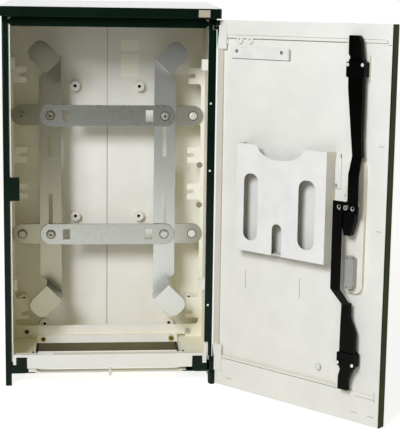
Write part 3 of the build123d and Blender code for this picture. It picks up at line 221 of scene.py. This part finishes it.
# Paper stickers, and the even dark of gaps, holes and shallow slits, flat marks of painted shade; the narrow
# dark also draws painted shadows beside parts, and seams and dots
paper = plain_matt("plain_paper_sticker", "#FCFBF6")
sticker_grey = plain_matt("grey_roof_sticker", "#B4ADA0")
hole_shade = plain_matt("painted_hole_shade", "#17150F")
ring_shade = plain_matt("shaded_ring", "#57544A")
seam_and_shadow_dark = plain_matt("dark_seam_and_painted_shadow", "#5F5C51")
soft_shade = plain_matt("soft_painted_shade", "#8E8B80")

finish_of_slot = {
    "green_coat": green_coat,
    "cream_coat": lining_coat,
    "white_coat": door_coat,
    "galvanised": galvanised,
    "zinc_plate": zinc,
    "brass": brass,
    "lock_metal": lock_zinc,
    "black_coat": rod_coat,
    "black_plastic": black_nylon,
    "white_plastic": white_abs,
    "cream_plastic": cream_abs,
}
for subpart in frame["record"]["subparts"]:
    node = nodes[subpart["node"]]
    node.data.materials.clear()
    node.data.materials.append(finish_of_slot[subpart["material_slot"]])

# Nodes whose finish is another than that of their slot
finish_of_node = {
    "door_liner": door_coat,
    "upper_door_hinge": door_coat,
    "lower_door_hinge": door_coat,
    "back_bosses": lining_coat,
    "crank_pins": rod_coat,
    "upper_crossbar": drawn_zinc,
    "lower_crossbar": drawn_zinc,
    "left_vertical_strap": shaded_zinc,
    "right_vertical_strap": lit_zinc,
}
for name, finish in finish_of_node.items():
    nodes[name].data.materials[0] = finish

# Where the door hangs, in mm: it stands open on its stop, and its lining faces inwards
hinge_axis = Vector((210.5, -127.0, 0))
hinge_gap = 1.5
lining_back = 1.0
door_open = math.radians(132.45)
door_along = Vector((-math.cos(door_open), -math.sin(door_open), 0))
door_inward = Vector((-math.sin(door_open), math.cos(door_open), 0))
door_edge = hinge_axis + door_along * hinge_gap - door_inward * lining_back


def second_finish(name, finish, chosen):
    """Gives the faces of a CAD node that a test picks by centre and normal a second finish."""
    mesh = nodes[name].data
    mesh.materials.append(finish)
    for face in mesh.polygons:
        if chosen(face.center / MM, face.normal):
            face.material_index = len(mesh.materials) - 1


def along_door(point):
    """How far a point lies from the door's hinged edge, in mm."""
    return (point - door_edge).dot(door_along)


# Inside the shell the side panels are cream, and the back is a darker copy of the cream, a painted shade; the
# roof's upper faces take the lighter and shinier green, a painted highlight; the hinge knuckles are green
inner_half = 207
knuckle_reach = 6.5
faces_in = 0.5


def in_back(centre, normal):
    return normal.y < -faces_in and abs(centre.x) < inner_half


def in_left_side(centre, normal):
    return normal.x > faces_in and centre.x < -inner_half


def in_right_side(centre, normal):
    return normal.x < -faces_in and centre.x > inner_half


second_finish("back_panel", back_shade_coat, in_back)
second_finish("left_side_panel", lining_coat, in_left_side)
second_finish("right_side_panel", lining_coat, in_right_side)
second_finish("roof_hood", roof_highlight_coat, lambda centre, normal: normal.z > 0.5)
for name in ("upper_door_hinge", "lower_door_hinge"):
    second_finish(name, green_coat, lambda centre, normal: (centre - hinge_axis).xy.length < knuckle_reach)

# The strap frame takes the darker copy of its zinc on the left, a painted shade, and its outer bolts on the
# right the near-white steel, a painted highlight
highlight_bolt_x = 150
for name in ("upper_links", "lower_links", "frame_bolts"):
    second_finish(name, shaded_zinc, lambda centre, normal: centre.x < 0)
second_finish("frame_bolts", rivet_and_highlight_steel, lambda centre, normal: centre.x > highlight_bolt_x)

# The door's rim in a greyer copy of its white, a painted shade, and its free edge in an olive far lighter
# than the green, painted light
rim_width = 14.6
rim_bottom = 33
rim_top = 700
free_edge = 409


def in_rim(centre, normal):
    return rim_bottom < centre.z < rim_top and along_door(centre) < rim_width


def in_free_edge(centre, normal):
    return normal.dot(door_along) > 0.9 and along_door(centre) > free_edge


second_finish("door_liner", shaded_rim_coat, in_rim)
second_finish("door_skin", lit_edge_coat, in_free_edge)

# Every sheet edge and machined corner is broken a little, so that it catches the light
plain_edge = 0.35
strip_edge = 0.8
edge_round = {"roof_hood": 1.2, "document_pocket": 0.8, "handle_grip": 2.0, "handle_dish": 0.8}
for height in ("upper", "lower"):
    edge_round[f"{height}_crossbar"] = strip_edge
    edge_round[f"{height}_links"] = strip_edge
for side in ("left", "right"):
    edge_round[f"{side}_vertical_strap"] = strip_edge
for name, node in nodes.items():
    weld = node.modifiers.new("weld", "WELD")
    weld.merge_threshold = 0.01 * MM
    bevel = node.modifiers.new("broken_edge", "BEVEL")
    bevel.width = edge_round.get(name, plain_edge) * MM
    bevel.segments = 2
    bevel.limit_method = "ANGLE"
    bevel.angle_limit = math.radians(40)
    bevel.harden_normals = True

# Places for the small pieces. On the door, u runs from its hinged edge, v up and w out of its
# lining. On the body, x and z are its own and the face looks to the front
upright = Vector((0, 0, 1))


def axes(across, normal, origin_mm):
    """A frame with its z along a normal and its y upright, its origin given in mm."""
    frame_axes = Matrix((across, upright, normal)).transposed().to_4x4()
    return Matrix.Translation(origin_mm * MM) @ frame_axes


def on_door(u, v, w):
    return axes(door_along, door_inward, door_edge + door_along * u + upright * v + door_inward * w)


def on_front(x, y, z):
    return axes(Vector((1, 0, 0)), Vector((0, -1, 0)), Vector((x, y, z)))


def piece(name, points, faces, place, finish, body, smooth=False):
    """A mesh piece from points in mm, set in its place and riding on its body."""
    mesh = bpy.data.meshes.new(name)
    mesh.from_pydata([place @ (Vector(point) * MM) for point in points], [], faces)
    mesh.materials.append(finish)
    if smooth:
        mesh.shade_smooth()
        mesh.set_sharp_from_angle(angle=math.radians(35))
    made = bpy.data.objects.new(name, mesh)
    bpy.context.collection.objects.link(made)
    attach(made, body)
    return made


def turned(name, profile, place, finish, body, sides=24):
    """A round piece turned from (radius, height) pairs, from its outer foot to its middle."""
    points = []
    faces = []
    for radius, height in profile:
        for k in range(sides):
            turn = 2 * math.pi * k / sides
            points.append((radius * math.cos(turn), radius * math.sin(turn), height))
    for ring in range(len(profile) - 1):
        for k in range(sides):
            following = (k + 1) % sides
            low, high = ring * sides, (ring + 1) * sides
            faces.append((low + k, low + following, high + following, high + k))
    faces.append(tuple(range(sides))[::-1])
    faces.append(tuple((len(profile) - 1) * sides + k for k in range(sides)))
    return piece(name, points, faces, place, finish, body, smooth=True)


def plate(name, outline, thick, place, finish, body, broken=0.2):
    """A flat plate from its outline, its edges broken a little."""
    count = len(outline)
    points = [(x, y, 0) for x, y in outline] + [(x, y, thick) for x, y in outline]
    faces = [tuple(range(count))[::-1], tuple(range(count, 2 * count))]
    faces += [(k, (k + 1) % count, (k + 1) % count + count, k + count) for k in range(count)]
    made = piece(name, points, faces, place, finish, body)
    if broken:
        edge = made.modifiers.new("broken_edge", "BEVEL")
        edge.width = broken * MM
        edge.segments = 2
        edge.harden_normals = True
    return made


def rectangle(width, height):
    """A rectangle's outline round its middle."""
    x, y = width / 2, height / 2
    return [(-x, -y), (x, -y), (x, y), (-x, y)]


def lug_outline(width, height, steps=10):
    """A tongue that hangs from its top edge with a round end."""
    radius = width / 2
    arc = [math.pi + math.pi * k / steps for k in range(steps + 1)]
    round_end = [(radius * math.cos(t), radius - height + radius * math.sin(t)) for t in arc]
    return [(-radius, 0), *round_end, (radius, 0)]


def disc(name, radius, thick, place, finish, body, sides=24):
    """A thin round mark, ring or bottom of a hole."""
    return turned(name, [(radius, 0), (radius, thick)], place, finish, body, sides)


def on_lining(name, size, thick, spot, w, finish=door_coat, broken=0.0):
    """A plate on the door's lining, its size and the spot of its middle along the door and up it."""
    return plate(name, rectangle(*size), thick, on_door(*spot, w), finish, "door", broken)


mark_thick = 0.1
few_sides = 12
hexagon = 6

# Rivets and screws, their profiles as (radius, height) pairs
dome = [(3.4, 0), (3.4, 0.5), (2.9, 1.2), (1.9, 1.8), (0.7, 2.1), (0.3, 2.1)]
small_share = 0.7
small_dome = [(radius * small_share, height * small_share) for radius, height in dome]
pan_head = [(3.6, 0), (3.6, 1.2), (3.1, 1.9), (1.6, 1.9), (1.2, 0.9), (0.4, 0.9)]
flange_front = -125.0
flange_x = 200.4
for index, z in enumerate((140.4, 416.7, 551.3)):
    place = on_front(flange_x, flange_front, z)
    turned(f"flange_rivet_{index}", small_dome, place, rivet_and_highlight_steel, "cabinet")
guide_front = 18.5
guide_rivets = ((326.5, 642.5), (358.3, 643.0), (325.3, 91.4), (358.3, 90.7))
for index, (u, v) in enumerate(guide_rivets):
    turned(f"guide_rivet_{index}", dome, on_door(u, v, guide_front), rivet_and_highlight_steel, "door")
label_face = -2.8
label_screw_v = 657.0
for index, u in enumerate((47.5, 158.5)):
    place = on_door(u, label_screw_v, label_face)
    turned(f"label_screw_{index}", pan_head, place, zinc, "door")
pocket_flange = -2.0
turned("pocket_screw", pan_head, on_door(294.5, 419.0, pocket_flange), zinc, "door")

# A dark ring round the flange of each bolt of the strap frame, a painted contact shadow. The inner bolts
# clamp the crossbars, the outer ones the links
inner_bolt_x = 121.3
outer_bolt_x = 182.0
upper_bar_z = 510.0
lower_bar_z = 255.0
crossbar_face = 56.0
link_face = 62.0
bolt_ring = 10.2
bolt_lines = [(side * inner_bolt_x, crossbar_face, z) for side in (1, -1) for z in (upper_bar_z, lower_bar_z)]
bolt_lines += [(outer_bolt_x, link_face, upper_bar_z), (outer_bolt_x, link_face, lower_bar_z)]
bolt_lines += [(-outer_bolt_x, link_face, lower_bar_z)]
for index, spot in enumerate(bolt_lines):
    disc(f"bolt_line_{index}", bolt_ring, mark_thick, on_front(*spot), ring_shade, "cabinet")

# Relief holes at the roots of the right comb's ears, drawn as discs of soft painted shade
comb_face = 65.0
relief_x = 197.5
relief_radius = 6.5
for index, z in enumerate((404.2, 317.5)):
    place = on_front(relief_x, comb_face, z)
    disc(f"relief_hole_{index}", relief_radius, mark_thick, place, soft_shade, "cabinet")

# The sockets of three bolts as hexagons of painted shade, each with a painted glint on its rim, and the slot
# of a fourth as a dark strip of painted shade
inner_head = 49.9
outer_head = 55.9
socket_x = 121.6
socket_radius = 2.6
for index, (x, z) in enumerate(((-socket_x, upper_bar_z), (socket_x, upper_bar_z), (-socket_x, lower_bar_z))):
    place = on_front(x, inner_head, z)
    disc(f"bolt_socket_{index}", socket_radius, mark_thick, place, hole_shade, "cabinet", hexagon)
    rim = on_front(x + 1.5, inner_head, z + 2.8)
    plate(f"socket_glint_{index}", rectangle(4.5, 1.3), 0.2, rim, rivet_and_highlight_steel, "cabinet", 0)
slot_place = on_front(-outer_bolt_x, outer_head, 508.0)
plate("bolt_slot", rectangle(7.0, 1.8), mark_thick, slot_place, hole_shade, "cabinet", 0)

# The clamp rail's grommet and screw, with painted shade in the grommet's hole and the screw's socket, and the
# open hole of its left tab as a ring of painted shade
lip_screw_x = 139.0
lip_screw_z = 23.5
grommet_place = on_front(-lip_screw_x, 52.0, lip_screw_z)
disc("grommet_hole", 3.3, mark_thick, grommet_place, hole_shade, "cabinet")
disc("rail_hole", 5.2, mark_thick, on_front(-175.0, 63.0, 38.0), ring_shade, "cabinet")
screw_place = on_front(lip_screw_x, 50.5, lip_screw_z)
disc("screw_socket", 2.4, mark_thick, screw_place, hole_shade, "cabinet", hexagon)

# The riveted ends of the two crank pins, each a bright ring, a painted highlight, round a dark middle, and
# the end of the spindle, a dot of painted shade
crank_v = 386.0
crank_ends = ((326.1, 30.5), (358.0, 33.5))
for index, (u, w) in enumerate(crank_ends):
    ring = on_door(u, crank_v, w)
    middle = on_door(u + 0.4, crank_v + 0.5, w)
    disc(f"crank_ring_{index}", 4.0, 0.2, ring, rivet_and_highlight_steel, "lock")
    disc(f"crank_ring_{index}_middle", 3.0, 0.3, middle, rod_coat, "lock")
spindle_place = on_door(342.0, crank_v, 33.6)
disc("spindle_middle", 1.5, 0.2, spindle_place, hole_shade, "lock", few_sides)

# Plain paper stickers on the back lining and the roof's lip
back_lining = 126.5
roof_lip = -150.0
sticker_thick = 0.2
for name, centre, size in (
    ("small_sticker", (49.5, 656.2), (38.5, 23.0)),
    ("tall_sticker", (48.6, 612.5), (38.0, 49.0)),
):
    place = on_front(centre[0], back_lining, centre[1])
    plate(name, rectangle(*size), sticker_thick, place, paper, "cabinet", 0)
place = on_front(182.8, roof_lip, 727.4)
plate("roof_sticker", rectangle(22.5, 14.0), sticker_thick, place, sticker_grey, "cabinet", 0)

# Lugs, ledge and folds of the door's lining, with painted shade in the lug holes and a painted shadow as a
# line below each fold. The panel lies deeper than the rim round it
lining_face = -4.0
rim_face = 0.0
lug_top = 687.5
for index, u in enumerate((56.5, 81.8)):
    place = on_door(u, lug_top, lining_face)
    plate(f"lining_lug_{index}", lug_outline(13, 16), 4.0, place, door_coat, "door", 0.6)
    place = on_door(u - 1.0, lug_top - 7.5, rim_face)
    disc(f"lug_hole_{index}", 1.3, mark_thick, place, hole_shade, "door", few_sides)
on_lining("lining_ledge", (14, 9), 3.5, (19.0, 675.0), lining_face, door_coat, 0.8)
on_lining("top_fold", (378, 6.5), 3.2, (207.0, 684.6), lining_face, door_coat, 1.5)
on_lining("top_fold_end", (4.0, 15.0), 3.6, (394.5, 688.8), lining_face, door_coat, 1.2)
for index, u in enumerate((221.4, 235.5)):
    place = on_door(u, 477.5, lining_face)
    disc(f"lining_dot_{index}", 1.6, mark_thick, place, seam_and_shadow_dark, "door", few_sides)
on_lining("pocket_hook", (5.5, 16.0), 5.0, (316.0, 411.0), lining_face, door_coat, 1.0)
on_lining("guide_edge", (2.5, 42.0), 6.0, (360.5, 637.0), lining_face, door_coat, 0.6)
on_lining("bottom_fold", (322.0, 4.5), 2.6, (166.0, 38.0), rim_face, door_coat, 1.2)
on_lining("bottom_fold_shadow", (322.0, 1.3), 0.15, (166.0, 34.8), rim_face, soft_shade)
on_lining("top_fold_shadow", (300.0, 1.3), 0.15, (156.0, 680.6), lining_face, soft_shade)

# The button that closes a spare hole shows a ring of painted shade in the gap round it, and a dark dot
button_place = on_door(266.0, 64.6, -3.0)
disc("button_ring", 6.8, 0.2, button_place, soft_shade, "door")
disc("button_ring_middle", 5.6, 0.4, button_place, door_coat, "door")
disc("button_ring_dot", 1.2, 0.5, button_place, seam_and_shadow_dark, "door", few_sides)

# The seam between the two sheets of the back lining, and a disc of painted shade at the bottom of the bore of
# each boss on it
seam_place = on_front(0.0, back_lining, 275.0)
plate("back_seam", rectangle(1.3, 470.0), mark_thick, seam_place, seam_and_shadow_dark, "cabinet", 0)
boss_height = 8.0
boss_corner = ((69.3, 284.5), (69.3, 568.8), (138.0, 42.0), (182.5, 100.0))
boss_spots = [(side * x, z) for side in (-1, 1) for x, z in boss_corner]
for index, (x, z) in enumerate(boss_spots):
    place = on_front(x, back_lining - boss_height, z)
    disc(f"boss_bore_{index}", 3.4, 0.2, place, hole_shade, "cabinet")

# Painted shadows as narrow dark strips under the label holder and beside the pocket, and the shallow slits of
# the lining as strips of painted shade: the middle of each, its size and the face that it lies on
line_thick = 0.12
shadow_strips = (
    ((106.0, 642.3), (144.0, 1.2)),
    ((178.8, 652.5), (1.2, 21.0)),
    ((303.0, 447.0), (2.0, 62.0)),
)
slits = (
    ((59.5, 476.8), (22.0, 0.9), lining_face),
    ((391.0, 498.0), (13.0, 0.9), lining_face),
    ((391.5, 343.6), (13.0, 0.9), lining_face),
    ((79.8, 207.0), (0.9, 38.0), lining_face),
    ((215.2, 210.0), (0.9, 41.0), lining_face),
    ((404.0, 678.4), (10.0, 0.9), rim_face),
    ((44.5, -5.0), (16.0, 0.9), rim_face),
    ((354.0, -3.5), (14.0, 0.9), rim_face),
    ((390.5, -4.5), (14.0, 0.9), rim_face),
    ((397.4, 33.5), (0.9, 19.0), rim_face),
    ((376.0, 28.5), (42.0, 0.8), rim_face),
)
for index, (spot, size) in enumerate(shadow_strips):
    on_lining(f"label_shadow_{index}", size, line_thick, spot, lining_face, seam_and_shadow_dark)
for index, (spot, size, w) in enumerate(slits):
    on_lining(f"lining_slit_{index}", size, line_thick, spot, w, soft_shade)

# Camera, at the photograph's place: all from the fitted view
photo_height_px = 433
focal_px = 1244.1
camera_place = Vector((-55.3, -2587.4, 741.0)) * MM
camera_turn = 0.0960
camera_dip = 0.1671
camera_roll = 0.0143

camera_data = bpy.data.cameras.new("camera")
camera_data.sensor_fit = "VERTICAL"
camera_data.sensor_height = 36.0
camera_data.lens = focal_px / photo_height_px * camera_data.sensor_height
camera = bpy.data.objects.new("camera", camera_data)
bpy.context.collection.objects.link(camera)
ahead = Vector(
    (
        math.sin(camera_turn) * math.cos(camera_dip),
        math.cos(camera_turn) * math.cos(camera_dip),
        -math.sin(camera_dip),
    )
)
level_right = Vector((math.cos(camera_turn), -math.sin(camera_turn), 0))
level_up = level_right.cross(ahead)
right = math.cos(camera_roll) * level_right + math.sin(camera_roll) * level_up
up = math.cos(camera_roll) * level_up - math.sin(camera_roll) * level_right
camera.matrix_world = Matrix.Translation(camera_place) @ Matrix((right, up, -ahead)).transposed().to_4x4()
bpy.context.scene.camera = camera


def studio_paper(name, shown_light):
    """White paper that takes the object's shadow, with light of its own only where the camera
    or a shiny thing sees it."""
    material, tree = new_material(name)
    ray = add(tree, "ShaderNodeLightPath").outputs
    lit = add(tree, "ShaderNodeBsdfDiffuse", Color=hex_colour("#DEDEDC")).outputs[0]
    glow = add(tree, "ShaderNodeEmission", Color=hex_colour("#FFFFFF"), Strength=shown_light).outputs[0]
    bright = add(tree, "ShaderNodeAddShader", [(0, lit), (1, glow)]).outputs[0]
    either_ray = [(0, ray["Is Camera Ray"]), (1, ray["Is Glossy Ray"])]
    seen = add(tree, "ShaderNodeMath", either_ray, operation="MAXIMUM").outputs[0]
    shown = add(tree, "ShaderNodeMixShader", [("Fac", seen), (1, lit), (2, bright)])
    add(tree, "ShaderNodeOutputMaterial", [("Surface", shown.outputs[0])])
    return material


def paper_sheet(name, x_range, y_range, height, finish):
    """A level sheet of the stage, in metres."""
    (left, right), (front, back) = x_range, y_range
    corners = ((left, front), (right, front), (right, back), (left, back))
    mesh = bpy.data.meshes.new(name)
    mesh.from_pydata([(x, y, height) for x, y in corners], [], [(0, 1, 2, 3)])
    mesh.materials.append(finish)
    sheet = bpy.data.objects.new(name, mesh)
    bpy.context.collection.objects.link(sheet)


# Floor: pale, lit as it is, and shown white to the camera. Seen through the cabinet's floor opening, the
# ground under it is a second sheet that glows less, a painted shade
floor_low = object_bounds()[0][2]
ground_lift = 0.3 * MM
floor_paper = studio_paper("white_studio_paper", 0.84)
ground_paper = studio_paper("shaded_studio_paper", 0.5)
paper_sheet("floor", (-1.3, 3.0), (-2.4, 9.0), floor_low, floor_paper)
paper_sheet("shaded_ground", (-0.2, 0.2), (-0.03, 0.125), floor_low + ground_lift, ground_paper)

# Studio light: a large soft lamp from the front left and above, a weak warm one from the front,
# and a white room
lamp_target = Vector((0.05, 0.0, 0.35))
lamp_distance = 3.2


def area_lamp(name, travel, size, power):
    """A square soft lamp whose light travels along a direction towards the cabinet."""
    travel = Vector(travel).normalized()
    data = bpy.data.lights.new(name, "AREA")
    data.size = size
    data.energy = power
    lamp = bpy.data.objects.new(name, data)
    lamp.location = lamp_target - travel * lamp_distance
    lamp.rotation_euler = travel.to_track_quat("-Z", "Y").to_euler()
    bpy.context.collection.objects.link(lamp)
    return lamp


area_lamp("key_lamp", (0.49, 1.0, -0.6), 1.0, 72)
fill_lamp = area_lamp("fill_lamp", (0.1, 1.0, -0.1), 1.4, 9)
fill_lamp.visible_glossy = False
fill_lamp.data.color = (1.0, 0.95, 0.82)

world = bpy.data.worlds.new("white_room")
bpy.context.scene.world = world
world.use_nodes = True
sky = world.node_tree
sky.nodes.clear()
ray = add(sky, "ShaderNodeLightPath").outputs
white = hex_colour("#FFFFFF")
direction = add(sky, "ShaderNodeTexCoord").outputs["Generated"]
towards_paper = add(sky, "ShaderNodeVectorMath", [(0, direction)], operation="DOT_PRODUCT")
towards_paper.inputs[1].default_value = (0.35, 0.9, 0.25)
# Shiny things see a dark room in front and to the left, and white paper to the right and behind
room_tone = add(
    sky,
    "ShaderNodeMapRange",
    [("Value", towards_paper.outputs["Value"])],
    From_Min=0.1,
    From_Max=0.8,
    To_Min=0.05,
    To_Max=2.4,
).outputs["Result"]
mirrored = add(sky, "ShaderNodeBackground", [("Strength", room_tone)], Color=white).outputs[0]
room = add(sky, "ShaderNodeBackground", Color=hex_colour("#FFF2D2"), Strength=0.13).outputs[0]
backdrop = add(sky, "ShaderNodeBackground", Color=white, Strength=1.0).outputs[0]
lit_or_mirrored = [("Fac", ray["Is Glossy Ray"]), (1, room), (2, mirrored)]
lit_room = add(sky, "ShaderNodeMixShader", lit_or_mirrored).outputs[0]
lit_or_seen = [("Fac", ray["Is Camera Ray"]), (1, lit_room), (2, backdrop)]
whole_room = add(sky, "ShaderNodeMixShader", lit_or_seen).outputs[0]
add(sky, "ShaderNodeOutputWorld", [("Surface", whole_room)])

bpy.context.scene.view_settings.view_transform = "Standard"
